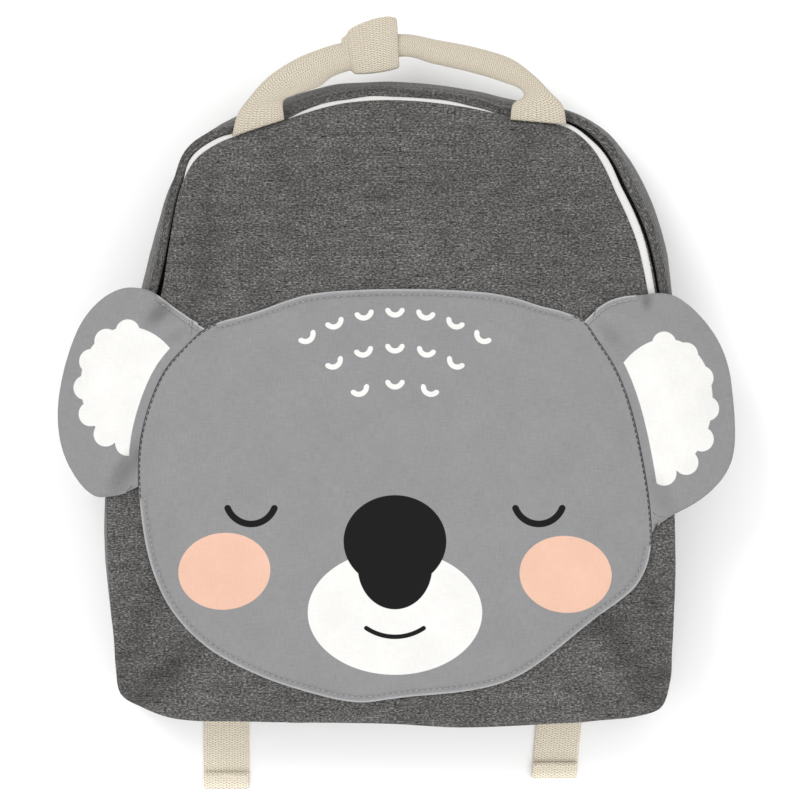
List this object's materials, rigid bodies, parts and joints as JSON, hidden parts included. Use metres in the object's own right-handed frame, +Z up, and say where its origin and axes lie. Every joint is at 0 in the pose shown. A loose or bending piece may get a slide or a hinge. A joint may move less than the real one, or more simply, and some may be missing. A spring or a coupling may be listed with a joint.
{
  "type": "kids animal backpack",
  "caption": "Child's soft backpack lying on its back: domed canvas body, animal head panel with padded ears, zip, webbing handle and shoulder straps.",
  "frame": {"origin": "on the floor below the middle of the whole bag's box", "axes": "+Z up, out of the bag's front; +Y to the bag's top; +X to the right of the front as seen from above"},
  "size_m": [0.3114, 0.3558, 0.0786],
  "materials": {
    "heather_canvas": "charcoal heather polyester canvas, fine woven flecks, matt",
    "head_cloth": "mid grey plain-weave cotton with printed areas, matt",
    "cotton_webbing": "natural cotton webbing, fine chevron weave, matt",
    "white_tape": "white woven tape, matt",
    "zip_coil": "dark nylon coil, satin",
    "moulded_plastic": "plain dark moulded plastic, fine texture"
  },
  "bodies": {
    "root": {"front_panel": "heather_canvas", "face_panel": "head_cloth", "ear_left": "head_cloth", "ear_right": "head_cloth", "zip_tape": "white_tape", "zip_coil": "zip_coil", "zip_slider": "moulded_plastic", "gusset_top": "heather_canvas", "gusset_base": "heather_canvas", "back_panel": "heather_canvas", "carry_handle": "cotton_webbing", "handle_wrap": "cotton_webbing", "shoulder_strap_left": "heather_canvas", "strap_adjuster_left": "moulded_plastic", "strap_webbing_left": "cotton_webbing", "shoulder_strap_right": "heather_canvas", "strap_adjuster_right": "moulded_plastic", "strap_webbing_right": "cotton_webbing"}
  },
  "joints": []
}
